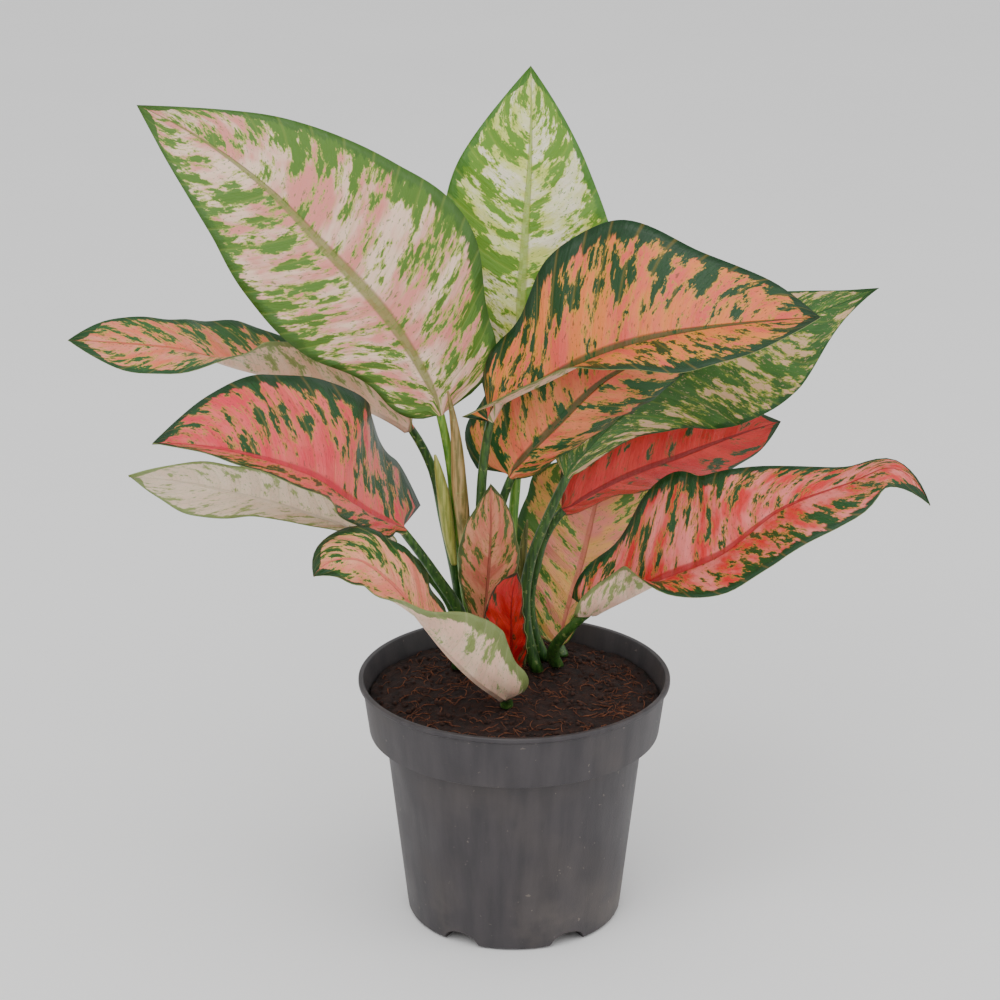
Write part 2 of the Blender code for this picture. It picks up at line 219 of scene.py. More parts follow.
SOIL_CENTRE = 93.0
SOIL_FALL = 3.0
COLLAR_RADIUS = 56.0
SOIL_RADIUS = 55.6
CRUMBS = 520
FIBRES = 420


def soil_height(x, y):
    return SOIL_CENTRE - SOIL_FALL * (x * x + y * y) / COLLAR_RADIUS**2


def earth(name, dark, light, rough_scale):
    made, tree, shader = new_material(name)
    place = put(tree, "ShaderNodeTexCoord").outputs["Object"]
    coarse = grain(tree, place, rough_scale, 8.0, 0.7)
    fine = grain(tree, place, rough_scale * 6, 6.0, 0.7)
    tone = mixed(tree, fade(tree, coarse, 0.35, 0.68), dark, light)
    tone = mixed(tree, fade(tree, fine, 0.62, 0.74, 0.0, 0.8), tone, rgb(112, 66, 44))
    tree.links.new(tone, shader.inputs["Base Color"])
    shader.inputs["Roughness"].default_value = 0.95
    bumped(tree, shader, calc(tree, "ADD", coarse, calc(tree, "MULTIPLY", fine, 0.4)), 0.0012)
    return made


def lump(x, y):
    """Rough ground, in millimetres, with nothing above the solid's own surface."""
    broad = noise.fractal(Vector((x * 0.11, y * 0.11, 2.0)), 1.0, 2.1, 3)
    small = noise.fractal(Vector((x * 0.5, y * 0.5, 7.0)), 0.8, 2.0, 3)
    return 0.9 * broad + 0.7 * small - 1.1


def potting_mix():
    points = [(0.0, 0.0, soil_height(0, 0) + lump(0, 0))]
    faces = []
    rings, around = 60, 200
    for i in range(1, rings + 1):
        radius = SOIL_RADIUS * i / rings
        for k in range(around):
            x = radius * math.cos(2 * math.pi * k / around)
            y = radius * math.sin(2 * math.pi * k / around)
            points.append((x, y, min(soil_height(x, y) + lump(x, y), SOIL_CENTRE)))
    for drop, radius in ((80.0, 51.5), (60.0, 46.0), (4.0, 39.0)):
        for k in range(around):
            points.append((radius * math.cos(2 * math.pi * k / around),
                           radius * math.sin(2 * math.pi * k / around), drop))
    for k in range(around):
        faces.append((0, 1 + k, 1 + (k + 1) % around))
    for i in range(rings + 2):
        for k in range(around):
            a, b = 1 + i * around + k, 1 + i * around + (k + 1) % around
            faces.append((a, a + around, b + around, b))
    faces.append(tuple(range(1 + (rings + 2) * around, 1 + (rings + 3) * around)))
    finish = earth("potting mix", rgb(28, 17, 14), rgb(56, 34, 26), 260.0)
    return mesh_object("potting_mix", points, faces, [finish])


def crumbs_and_fibres():
    """Loose crumbs and coir fibres resting on the mix, as one mesh."""
    points, faces, slots = [], [], []
    for _ in range(CRUMBS):
        radius, turn = 53.0 * math.sqrt(random.random()), random.uniform(0, 2 * math.pi)
        x, y = radius * math.cos(turn), radius * math.sin(turn)
        size = random.uniform(0.35, 1.25)
        first = len(points)
        work = bmesh.new()
        bmesh.ops.create_icosphere(work, subdivisions=2, radius=1.0)
        z = soil_height(x, y) + lump(x, y) + size * 0.3
        for v in work.verts:
            swell = size * (1 + 0.45 * noise.noise(v.co * 1.6 + Vector((x, y, 0))))
            points.append((x + v.co.x * swell, y + v.co.y * swell, z + v.co.z * swell * 0.75))
        faces += [tuple(first + v.index for v in f.verts) for f in work.faces]
        slots += [0] * len(work.faces)
        work.free()
    for _ in range(FIBRES):
        radius, turn = 52.5 * math.sqrt(random.random()), random.uniform(0, 2 * math.pi)
        way, bend = random.uniform(0, 2 * math.pi), random.uniform(-0.35, 0.35)
        length, thick = random.uniform(3.0, 11.0), random.uniform(0.07, 0.2)
        x, y = radius * math.cos(turn), radius * math.sin(turn)
        lift = random.uniform(0.1, 1.0)
        first = len(points)
        for i in range(8):
            x += math.cos(way) * length / 8
            y += math.sin(way) * length / 8
            way += bend
            inside = min(1.0, 53.5 / max(math.hypot(x, y), 1.0))
            x, y = x * inside, y * inside
            z = soil_height(x, y) + lump(x, y) + 0.15 + lift * math.sin(math.pi * i / 7)
            size = thick * (0.4 + math.sin(math.pi * (i + 0.7) / 8.4))
            for k in range(5):
                a = 2 * math.pi * k / 5
                out = size * math.cos(a)
                points.append((x - math.sin(way) * out, y + math.cos(way) * out, z + size * math.sin(a)))
        for i in range(7):
            for k in range(5):
                a, b = first + i * 5 + k, first + i * 5 + (k + 1) % 5
                faces.append((a, b, b + 5, a + 5))
                slots.append(1)
        faces += [tuple(first + k for k in range(5)), tuple(first + 35 + k for k in range(5))]
        slots += [1, 1]
    crumb = earth("crumb", rgb(36, 22, 18), rgb(78, 48, 36), 700.0)
    fibre = earth("fibre", rgb(84, 46, 32), rgb(142, 88, 60), 500.0)
    return mesh_object("crumbs_and_fibres", points, faces, [crumb, fibre], slots)


mix = potting_mix()
belongs(mix, "potting_mix")
loose = crumbs_and_fibres()
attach(loose, "root")

# ---- Leaves ------------------------------------------------------------------------------------
# Each leaf is a stalk that runs on as the rib of a thin satin blade. Side veins leave the rib at a
# slant and curve towards the tip; the colour breaks along them into ragged green blotches.

ACROSS = 12
ROWS = 60
STALK_ROWS = 22
WIDTH_STATIONS = np.array([0.0, 0.1, 0.3, 0.5, 0.7, 0.9, 1.0])


def hermite(knots, values, at):
    """A smooth curve through the values at the knots."""
    slope = np.gradient(values, knots, axis=0, edge_order=2 if len(values) > 2 else 1)
    i = np.clip(np.searchsorted(knots, at, side="right") - 1, 0, len(values) - 2)
    step = (knots[i + 1] - knots[i])[:, None]
    u = (at - knots[i])[:, None] / step
    return (
        (2 * u**3 - 3 * u**2 + 1) * values[i]
        + (u**3 - 2 * u**2 + u) * slope[i] * step
        + (3 * u**2 - 2 * u**3) * values[i + 1]
        + (u**3 - u**2) * slope[i + 1] * step
    )


def smooth_path(points, at):
    points = np.array(points, float)
    knots = np.concatenate([[0], np.cumsum(np.linalg.norm(np.diff(points, axis=0), axis=1))])
    return hermite(knots / knots[-1], points, at)


def spread(values, at):
    values = np.array(values, float).reshape(len(values), -1)
    return hermite(np.linspace(0, 1, len(values)), values, at)


def unit(vectors):
    return vectors / np.linalg.norm(vectors, axis=-1, keepdims=True)


def foot(x, y):
    return (x, y, soil_height(x, y) + 0.5)


class Half:
    """One half of a blade: its widths in millimetres, and its rise at the rib and margin in degrees."""

    def __init__(self, widths, rib, edge, lobe=0.0, reach=0.12):
        self.widths, self.rib, self.edge, self.lobe, self.reach = widths, rib, edge, lobe, reach

    def width(self, at):
        values = np.array([self.widths[0], *self.widths, 0.0])[:, None]
        base = np.sqrt(np.clip(1 - (1 - np.minimum(at / 0.1, 1)) ** 2, 0, 1))
        return np.maximum(hermite(WIDTH_STATIONS, values, at)[:, 0], 0) * base + 0.02


class Look:
    """A blade's colours, then how wide its rim is, how bare of blotches and how freckled it is."""

    def __init__(self, main, second, halo, blotch, rim, rib, rim_width, bare, freckles):
        self.main, self.second, self.halo = rgb(*main), rgb(*second), rgb(*halo)
        self.blotch, self.rim, self.rib = rgb(*blotch), rgb(*rim), rgb(*rib)
        self.rim_width, self.bare, self.freckles = rim_width, bare, freckles

    def beneath(self):
        """The same pattern seen on the paler underside."""
        black = (0, 0, 0)
        pale = Look(black, black, black, black, black, black, self.rim_width, self.bare + 0.03, 0.6)
        cream = np.array(rgb(232, 208, 182))
        leaf = np.array(rgb(150, 160, 96))
        pale.main = cream * 0.7 + np.array(self.main) * 0.3
        pale.second = cream * 0.8 + np.array(self.second) * 0.2
        pale.halo = leaf * 0.6 + cream * 0.4
        pale.blotch = leaf * 0.8 + np.array(self.blotch) * 0.2
        pale.rim = leaf * 0.6 + np.array(self.rim) * 0.4
        pale.rib = cream * 0.8 + np.array(self.rib) * 0.2
        return pale


def leaf_pattern():
    """Masks over a blade: Across runs from -1 to 1 between the margins and Along from stalk to tip."""
    group = bpy.data.node_groups.new("leaf pattern", "ShaderNodeTree")
    for name in ("Across", "Along", "Length", "Seed", "Rim", "Bare"):
        group.interface.new_socket(name, in_out="INPUT", socket_type="NodeSocketFloat")
    for name in ("Rim", "Blotch", "Halo", "Midrib", "Vein", "Freckle", "Tone", "Height"):
        group.interface.new_socket(name, in_out="OUTPUT", socket_type="NodeSocketFloat")
    given = put(group, "NodeGroupInput").outputs
    out = put(group, "NodeGroupOutput").inputs
    away = calc(group, "ABSOLUTE", given["Across"])
    run = calc(group, "MULTIPLY", given["Along"], given["Length"])
    slant = calc(group, "MULTIPLY", calc(group, "POWER", away, 1.25), 1.9)
    other = calc(group, "MULTIPLY", calc(group, "GREATER_THAN", given["Across"], 0.0), 0.43)
    lateral = calc(group, "ADD", calc(group, "SUBTRACT", run, slant), other)
    gap = calc(group, "ABSOLUTE", calc(group, "SUBTRACT", calc(group, "FRACT", lateral), 0.5))
    vein = fade(group, gap, 0.09, 0.0)
    fine_run = calc(group, "FRACT", calc(group, "MULTIPLY", lateral, 5))
    thread = calc(group, "ABSOLUTE", calc(group, "SUBTRACT", fine_run, 0.5))

    def field(across, along, offset, detail):
        x = calc(group, "MULTIPLY", given["Across"], across)
        y = calc(group, "MULTIPLY", lateral, along)
        z = calc(group, "ADD", given["Seed"], offset)
        vector = put(group, "ShaderNodeCombineXYZ", {0: x, 1: y, 2: z}).outputs[0]
        return grain(group, vector, 1.0, detail, 0.66)

    patches = field(2.6, 1.7, 0.0, 8.0)
    ragged = calc(group, "MULTIPLY", calc(group, "SUBTRACT", field(11.0, 8.0, 31.0, 4.0), 0.5), 0.22)
    patches = calc(group, "ADD", patches, ragged)
    patches = calc(group, "ADD", patches, calc(group, "MULTIPLY", calc(group, "SUBTRACT", away, 0.45), 0.1))
    level = calc(group, "SUBTRACT", given["Bare"], patches)
    wobble = calc(group, "MULTIPLY", calc(group, "SUBTRACT", field(3.0, 3.4, 53.0, 6.0), 0.5), 0.34)
    tip = fade(group, given["Along"], 0.9, 0.99, 0.0, 0.9)
    edge = calc(group, "ADD", calc(group, "ADD", away, wobble), calc(group, "ADD", given["Rim"], tip))
    slim = fade(group, given["Along"], 0.0, 1.0, 0.055, 0.02)
    midrib = fade(group, calc(group, "DIVIDE", away, slim), 1.5, 0.8)
    puff = calc(group, "MULTIPLY", gap, 1.3)
    height = calc(group, "ADD", puff, calc(group, "MULTIPLY", field(9.0, 7.0, 71.0, 5.0), 0.5))
    height = calc(group, "ADD", height, fade(group, thread, 0.1, 0.0, 0.0, -0.06))
    height = calc(group, "SUBTRACT", height, calc(group, "MULTIPLY", midrib, 0.6))
    rim = fade(group, edge, 0.985, 1.02)
    blotch = fade(group, level, 0.004, -0.016)
    halo = fade(group, level, 0.055, -0.005)
    freckle = fade(group, field(16.0, 9.0, 91.0, 3.0), 0.6, 0.65)
    results = (rim, blotch, halo, midrib, vein, freckle, field(1.5, 0.8, 17.0, 3.0), height)
    for socket, value in zip(out, results):
        group.links.new(value, socket)
    return group


pattern = leaf_pattern()


def blade_finish(name, look, length, seed, roughness):
    made, tree, shader = new_material(name)
    surface = put(tree, "ShaderNodeUVMap", uv_map="surface").outputs[0]
    place = put(tree, "ShaderNodeSeparateXYZ", {0: surface}).outputs
    across = calc(tree, "MULTIPLY_ADD", place["X"], 2.0, -1.0)
    values = {"Across": across, "Along": place["Y"], "Length": length / 10, "Seed": seed * 3.7,
              "Rim": look.rim_width, "Bare": look.bare}
    node = tree.nodes.new("ShaderNodeGroup")
    node.node_tree = pattern
    for key, value in values.items():
        if isinstance(value, bpy.types.NodeSocket):
            tree.links.new(value, node.inputs[key])
        else:
            node.inputs[key].default_value = value
    mask = node.outputs
    tone = mixed(tree, fade(tree, mask["Tone"], 0.38, 0.62), look.main, look.second)
    tone = mixed(tree, mask["Halo"], tone, look.halo)
    tone = mixed(tree, mask["Blotch"], tone, look.blotch)
    tone = mixed(tree, calc(tree, "MULTIPLY", mask["Freckle"], look.freckles), tone, look.blotch)
    tone = mixed(tree, mask["Rim"], tone, look.rim)
    tone = mixed(tree, calc(tree, "MULTIPLY", mask["Vein"], 0.18), tone, look.halo)
    tone = mixed(tree, calc(tree, "MULTIPLY", mask["Midrib"], 0.85), tone, look.rib)
    tree.links.new(tone, shader.inputs["Base Color"])
    sheen = fade(tree, mask["Height"], 0.0, 1.2, roughness + 0.06, roughness - 0.04)
    tree.links.new(sheen, shader.inputs["Roughness"])
    shader.inputs["Specular IOR Level"].default_value = 0.45
    shader.inputs["Subsurface Weight"].default_value = 0.12
    shader.inputs["Subsurface Radius"].default_value = (0.004, 0.0025, 0.001)
    bumped(tree, shader, mask["Height"], 0.0011, 0.8)
    return made


def stalk_finish(name, dark, light):
    made, tree, shader = new_material(name)
    place = put(tree, "ShaderNodeTexCoord").outputs["Object"]
    stretched = put(tree, "ShaderNodeMapping", {"Vector": place, "Scale": (1.0, 1.0, 0.08)}).outputs[0]
    streaks = grain(tree, stretched, 900.0, 5.0)
    freckles = grain(tree, place, 600.0, 3.0)
    tone = mixed(tree, fade(tree, streaks, 0.35, 0.65), dark, light)
    tone = mixed(tree, fade(tree, freckles, 0.6, 0.68, 0.0, 0.5), tone, rgb(150, 160, 96))
    tree.links.new(tone, shader.inputs["Base Color"])
    tree.links.new(fade(tree, streaks, 0.3, 0.7, 0.36, 0.48), shader.inputs["Roughness"])
    bumped(tree, shader, streaks, 0.0003, 0.6)
    return made


stalk = stalk_finish("stalk", rgb(34, 66, 30), rgb(62, 98, 40))
bright_stalk = stalk_finish("bright stalk", rgb(70, 122, 38), rgb(120, 160, 62))


def blade_grid(rib, face, left, right):
    """Points of the upper face, row by row from base to tip, from the left margin to the right one."""
    at = np.linspace(0, 1, ROWS) ** 1.15
    line = smooth_path(rib, at)
    along = unit(np.gradient(line, at, axis=0))
    facing = spread(face, at)
    up = unit(facing - (facing * along).sum(1, keepdims=True) * along)
    side = np.cross(along, up)
    halves = []
    for half, sign in ((left, -1), (right, 1)):
        width = half.width(at)
        start, end = (np.radians(spread(v, at))[:, 0] for v in (half.rib, half.edge))
        columns, place = [line], line.copy()
        for j in range(1, ACROSS):
            rise = start + (end - start) * (j - 0.5) / (ACROSS - 1)
            lean = np.cos(rise)[:, None] * side * sign + np.sin(rise)[:, None] * up
            place = place + lean * (width / (ACROSS - 1))[:, None]
            t = j / (ACROSS - 1)
            back = half.lobe * t**1.5 * np.exp(-((at / half.reach) ** 2))
            columns.append(place - along * back[:, None])
        halves.append(np.stack(columns, 1))
    return at, np.concatenate([halves[0][:, :0:-1], halves[1]], 1), along, up


def rippled(at, grid, normal, seed):
    """A blade's gentle waves, strongest towards the margins."""
    away = np.abs(np.linspace(-1, 1, grid.shape[1]))
    phase = at[:, None] * (5 + seed % 3) - away[None, :] * 0.5 + seed * 0.37
    wave = 0.55 * np.sin(2 * math.pi * phase) * away[None, :] ** 1.5 * np.sin(math.pi * at)[:, None]
    return grid + normal * wave[..., None]


def grow_leaf(name, stalk_path, rib, face, left, right, look, stalk_look, seed):
    """One closed loft: rings round the stalk, then thin sections of the blade out to its tip."""
    at, grid, along, up = blade_grid(rib, face, left, right)
    normal = unit(np.cross(np.gradient(grid, axis=1), np.gradient(grid, axis=0)) + 1e-9)
    grid = rippled(at, grid, normal, seed)
    count = grid.shape[1]
    away = np.linspace(-1, 1, count)
    sections, place_on = [], []
    steps = np.linspace(0, 1, STALK_ROWS)
    line = smooth_path(stalk_path, steps)
    heading = unit(np.gradient(line, axis=0))
    heading[-1] = unit(heading[-1] + along[0])
    heading[0] = (0, 0, 1)
    first_side = np.cross(along[0], up[0])
    turn = np.radians(np.concatenate([np.linspace(170, 10, count), np.linspace(-10, -170, count)]))[:, None]
    for centre, ahead, t in zip(line, heading, steps):
        side = unit(first_side - (first_side @ ahead) * ahead)
        over = np.cross(side, ahead)
        sections.append(centre + (2.55 - 0.95 * t) * (np.cos(turn) * side + np.sin(turn) * over))
        place_on.append(np.full(2 * count, t - 1))
    for i, s in enumerate(at):
        if s < 0.002:
            continue
        keel = (1.5 + 1.6 * math.exp(-s / 0.05)) * (1 - 0.75 * s)
        thick = keel * np.exp(-((away / 0.1) ** 2)) + 0.5 * (1 - 0.4 * np.abs(away))
        under = grid[i] - normal[i] * thick[:, None]
        sections.append(np.concatenate([grid[i], under[::-1]]))
        place_on.append(np.full(2 * count, s))
    around, faces, slots = 2 * count, [], []
    for i in range(len(sections) - 1):
        for j in range(around):
            a, b = i * around + j, i * around + (j + 1) % around
            faces.append((a, b, b + around, a + around))
            slots.append(2 if i < STALK_ROWS - 1 else int(j >= count - 1))
    last = (len(sections) - 1) * around
    for j in range(count - 1):
        for base in (0, last):
            faces.append((base + j, base + j + 1, base + around - 2 - j, base + around - 1 - j))
            slots.append(2 if base == 0 else 0)
    across = np.tile(np.concatenate([away, away[::-1]]), len(sections))
    uv = np.stack([0.5 + across / 2, np.concatenate(place_on)], 1)
    length = np.linalg.norm(np.diff(smooth_path(rib, at), axis=0), axis=1).sum()
    finishes = [blade_finish(name + " upper", look, length, seed, 0.38),
                blade_finish(name + " lower", look.beneath(), length, seed, 0.5), stalk_look]
    leaf = mesh_object(name, np.concatenate(sections), faces, finishes, slots, uv)
    belongs(leaf, name)


# The tall leaf at upper left: pale pink and cream, mottled with green, with an olive midrib.
# Its blade faces forwards and leans out, and its stalk is the brightest green.
grow_leaf(
    "leaf_top_left",
    [foot(-10, 24), (-18, 18, 121), (-20, 14, 139), (-22, 12, 152), (-24, 10, 177), (-28, 6, 201)],
    [(-29, 5, 206), (-46, -1, 239), (-69, -5, 268), (-92, -5, 293), (-115, 1, 309), (-138, 9, 319)],
    [(0.1, -1, 0.35), (0.05, -1, 0.3), (0, -1, 0.5)],
    Half((18, 32, 33, 25, 11), (5, 5, 5), (0, -10, 0), lobe=5),
    Half((31, 46, 40, 25, 7), (5, 5, 5), (-5, -5, 0), lobe=5),
    Look(
        main=(222, 138, 128), second=(238, 205, 180), halo=(168, 178, 80),
        blotch=(84, 122, 42), rim=(66, 104, 36), rib=(126, 130, 66),
        rim_width=0.11, bare=0.53, freckles=0.75,
    ),
    bright_stalk,
    seed=1,
)

# The tallest leaf, upright at the back: cream washed with yellow-green.
# Dense green specks crowd in from both margins.
grow_leaf(
    "leaf_top_back",
    [foot(5, 28), (0, 25, 118), (-1, 22, 144), (1, 23, 174), (1, 24, 200)],
    [(1, 24, 204), (2, 26, 236), (4, 30, 266), (6, 36, 295), (6, 46, 325)],
    [(0, -1, 0.2), (0, -1, 0.3), (0, -1, 0.5)],
    Half((14, 26, 31, 27, 11), (8, 8, 5), (0, 0, 0)),
    Half((28, 36, 33, 22, 8), (8, 8, 5), (0, 0, 0)),
    Look(
        main=(236, 228, 200), second=(205, 212, 110), halo=(186, 200, 84),
        blotch=(98, 142, 40), rim=(70, 118, 34), rib=(150, 172, 80),
        rim_width=0.12, bare=0.5, freckles=0.9,
    ),
    bright_stalk,
    seed=2,
)

# The broad leaf at upper right, folded along its rib: salmon-red and orange inside a dark rim.
# Ochre halos surround its dark green blotches.
grow_leaf(
    "leaf_upper_right",
    [foot(-7, 13), (-13, 9, 124), (-13, 6, 158), (-12, 2, 180), (-9, -3, 202)],
    [(-7, -4, 209), (9, -12, 219), (30, -22, 233), (44, -28, 240), (67, -34, 247), (88, -38, 251),
     (109, -42, 254)],
    [(0, -0.5, 0.85), (0, -0.5, 0.85), (0.1, -0.4, 0.85)],
    Half((23, 42, 46, 28, 13), (28, 28, 30, 15), (25, 35, 30, 0), lobe=6),
    Half((6, 14, 22, 24, 12), (36, 44, 34, 26, 20, 10), (40, 60, 30, 0, 0, 0), lobe=16),
    Look(
        main=(226, 92, 78), second=(232, 128, 66), halo=(196, 150, 52),
        blotch=(22, 66, 26), rim=(16, 58, 24), rib=(32, 74, 30),
        rim_width=0.13, bare=0.52, freckles=0.6,
    ),
    stalk,
    seed=3,
)

# A shaded leaf behind the upper right one: orange-pink with a dark green midrib.
# Its near half turns down and away.
grow_leaf(
    "leaf_middle_right",
    [foot(-2.5, 17), (-7, 16, 126), (-5, 10, 163), (-1, 6, 176)],
    [(-1, 6, 178), (15, 0, 198), (36, -2, 219), (54, 0, 227), (71, 6, 231)],
    [(-0.2, -0.8, 0.6), (0, -0.7, 0.7), (0, -0.6, 0.8)],
    Half((26, 31, 27, 20, 10), (15, 15, 10), (10, 10, 0), lobe=12),
    Half((14, 20, 22, 18, 9), (-30, -25, -20), (-110, -100, -60), lobe=4),
    Look(
        main=(218, 96, 74), second=(226, 130, 84), halo=(180, 150, 60),
        blotch=(28, 78, 32), rim=(20, 66, 28), rib=(24, 70, 30),
        rim_width=0.13, bare=0.52, freckles=0.6,
    ),
    stalk,
    seed=4,
)

# The long green leaf at far right, the least coloured one.
# Yellow, cream and pink streaks run along its side veins.
grow_leaf(
    "leaf_right",
    [foot(9, 13), (4, 13, 123), (7, 12, 142), (11, 12, 153), (20, 11, 174)],
    [(20, 11, 175), (40, 15, 197), (66, 14, 217), (99, 14, 232), (123, 12, 243), (136, 14, 248)],
    [(0, -0.8, 0.6), (0.1, -0.7, 0.7), (0.2, -0.7, 0.7)],
    Half((14, 24, 26, 16, 5), (10, 10, 10), (10, 10, 0)),
    Half((9, 18, 28, 25, 5), (-60, -40, -10, 0, 0), (-70, -50, -20, -10, -5)),
    Look(
        main=(52, 96, 38), second=(66, 112, 44), halo=(168, 172, 70),
        blotch=(216, 176, 140), rim=(34, 80, 30), rib=(48, 92, 40),
        rim_width=0.06, bare=0.57, freckles=0.5,
    ),
    stalk,
    seed=5,
)

# The small deep red leaf low on the right, in the shade of the others: its red is partly its own and partly
# painted shade.
# Only its rim and a few flecks are green.
grow_leaf(
    "leaf_right_shaded",
    [foot(12, 25), (6, 23, 119), (9, 21, 136), (11, 20, 144), (19, 18, 158)],
    [(21, 18, 159), (41, 22, 169), (64, 26, 177), (87, 32, 184), (103, 38, 187)],
    [(0, -0.7, 0.7), (0, -0.7, 0.7), (0, -0.6, 0.8)],
    Half((16, 24, 26, 20, 8), (15, 15, 10), (10, 10, 0)),
    Half((12, 18, 20, 16, 8), (-70, -60, -20), (-110, -100, -50), lobe=4),
    Look(
        # These deep reds are partly painted shade: the leaf's own red, painted darker for the shadow it
        # stands in.
        main=(186, 30, 28), second=(200, 50, 40), halo=(150, 70, 36),
        blotch=(36, 66, 28), rim=(26, 62, 26), rib=(120, 26, 26),
        rim_width=0.1, bare=0.58, freckles=0.4,
    ),
    stalk,
    seed=6,
)

# The lowest leaf on the right: strong red near the stalk, paler pink towards the tip.
# The near half rolls up along the rib; the tip droops.
grow_leaf(
    "leaf_lower_right",
    [foot(17, 19), (15, 13, 100), (20, 2, 114), (28, -6, 125)],
    [(28, -6, 125), (40, -14, 134), (54, -25, 146), (75, -36, 160), (98, -44, 182), (121, -50, 194),
     (136, -54, 201), (149, -60, 189)],
    [(-0.2, -0.5, 0.85), (-0.1, -0.5, 0.85), (0, -0.4, 0.9)],
    Half((20, 38, 28, 11, 3), (28, 28, 30, 15), (25, 20, 5, 0), lobe=8),
    Half((13, 20, 26, 27, 11), (32, 34, 30, 25, 10), (60, 170, 20, 5, 0, 0, 0), lobe=4),
    Look(
        main=(214, 46, 44), second=(236, 128, 122), halo=(190, 130, 60),
        blotch=(26, 74, 30), rim=(18, 62, 26), rib=(170, 34, 40),
        rim_width=0.12, bare=0.54, freckles=0.5,
    ),
    stalk,
    seed=7,
)

# A leaf low at the back right, seen between the others: pink, shading to yellow-orange.
# Its top is a broad rounded blade.
grow_leaf(
    "leaf_low_back",
    [foot(19, 31), (18, 32, 96)],
    [(18, 32, 96), (21, 34, 110), (26, 38, 127), (31, 42, 148), (36, 50, 169)],
    [(0, -1, 0.1), (0, -1, 0.2), (0, -1, 0.3)],
    Half((15, 23, 28, 27, 20), (5, 5, 5), (0, 0, 0)),
    Half((5, 13, 22, 24, 18), (5, 5, 5), (0, 0, 0)),
    Look(
        main=(226, 132, 118), second=(226, 164, 92), halo=(186, 176, 80),
        blotch=(76, 116, 44), rim=(48, 92, 34), rib=(196, 110, 90),
        rim_width=0.1, bare=0.55, freckles=0.6,
    ),
    stalk,
    seed=8,
)

# A small young leaf standing in the middle of the clump, painted brownish pink: its darker, browner colours
# are partly painted shade, for it stands in shade.
# It is still narrow and lightly cupped.
grow_leaf(
    "leaf_young_centre",
    [foot(-9, 5), (-12, 4, 108), (-12, 2, 117)],
    [(-12, 2, 117), (-10, -2, 137), (-9, -4, 158), (-9, -2, 176)],
    [(0, -1, 0.1), (0, -1, 0.1), (0, -1, 0.3)],
    Half((7, 11, 13, 11, 4), (20, 20, 10), (30, 30, 0)),
    Half((5, 9, 12, 10, 5), (20, 20, 10), (30, 30, 0)),
    Look(
        # These colours are partly painted shade: the leaf's own pink, painted darker and browner.
        main=(190, 104, 84), second=(204, 136, 104), halo=(160, 130, 70),
        blotch=(72, 92, 42), rim=(70, 84, 40), rib=(150, 80, 64),
        rim_width=0.1, bare=0.56, freckles=0.5,
    ),
    stalk,
    seed=9,
)

# The smallest leaf, low at the front of the clump and almost wholly red.
# It is cupped and leans forward a little.
grow_leaf(
    "leaf_small_front",
    [foot(0, 4), (-1, 1, 101)],
    [(-1, 0, 101), (-1, -9, 119), (-1, -13, 133), (1, -14, 145)],
    [(-0.3, -1, 0.1), (-0.3, -1, 0.1), (-0.3, -1, 0.3)],
    Half((10, 12, 11, 9, 5), (10, 10, 10), (20, 20, 0)),
    Half((6, 7, 6, 5, 3), (10, 10, 10), (20, 20, 0)),
    Look(
        main=(182, 24, 26), second=(204, 52, 44), halo=(150, 60, 36),
        blotch=(46, 60, 28), rim=(60, 50, 30), rib=(140, 20, 24),
        rim_width=0.08, bare=0.6, freckles=0.3,
    ),
    stalk,
    seed=10,
)

# The low leaf that comes out over the front of the pot: salmon with a broad dark green rim.
# Its near half folds up and over, so that its cream underside shows.
grow_leaf(
    "leaf_lower_left",
    [foot(-3, -20), (-3, -22, 96), (-3, -26, 99)],
    [(-3, -27, 100), (-11, -33, 107), (-22, -39, 120), (-34, -45, 138), (-47, -50, 157), (-58, -54, 166),
     (-68, -58, 166), (-73, -61, 162)],
    [(0.3, -0.6, 0.7), (0.1, -0.6, 0.8), (-0.3, -0.5, 0.8)],
    Half((16, 24, 24, 18, 12), (60, 80, 50, -10, -10), (130, 150, 140, 70, -10), lobe=4),
    Half((12, 18, 20, 20, 14), (-15, -15, 0), (-30, -30, -20), lobe=4),
    Look(
        main=(234, 128, 108), second=(238, 158, 126), halo=(196, 176, 90),
        blotch=(40, 88, 34), rim=(18, 64, 26), rib=(222, 110, 96),
        rim_width=0.2, bare=0.54, freckles=0.5,
    ),
    stalk,
    seed=11,
)

# The rosy leaf on the left, with the deepest pink-red and a wholly green tip.
# A broad lobe hangs back beside its stalk.
grow_leaf(
    "leaf_left",
    [foot(-16, 9), (-20, 9, 117), (-30, 3, 137), (-42, -5, 158)],
    [(-44, -6, 161), (-51, -14, 167), (-62, -26, 179), (-71, -34, 189), (-91, -50, 203),
     (-110, -62, 212), (-128, -72, 217)],
    [(0, -0.4, 0.9), (0, -0.5, 0.85), (0, -0.4, 0.9)],
    Half((8, 14, 18, 10, 3), (-20, 10, 15, 15, 10), (-80, -20, 20, 10, 0)),
    Half((32, 42, 38, 30, 11), (30, 30, 30, 15), (20, 15, 5), lobe=22, reach=0.3),
    Look(
        main=(222, 62, 76), second=(230, 100, 96), halo=(186, 140, 66),
        blotch=(24, 72, 30), rim=(16, 60, 26), rib=(196, 44, 62),
        rim_width=0.13, bare=0.54, freckles=0.5,
    ),
    stalk,
    seed=12,
)

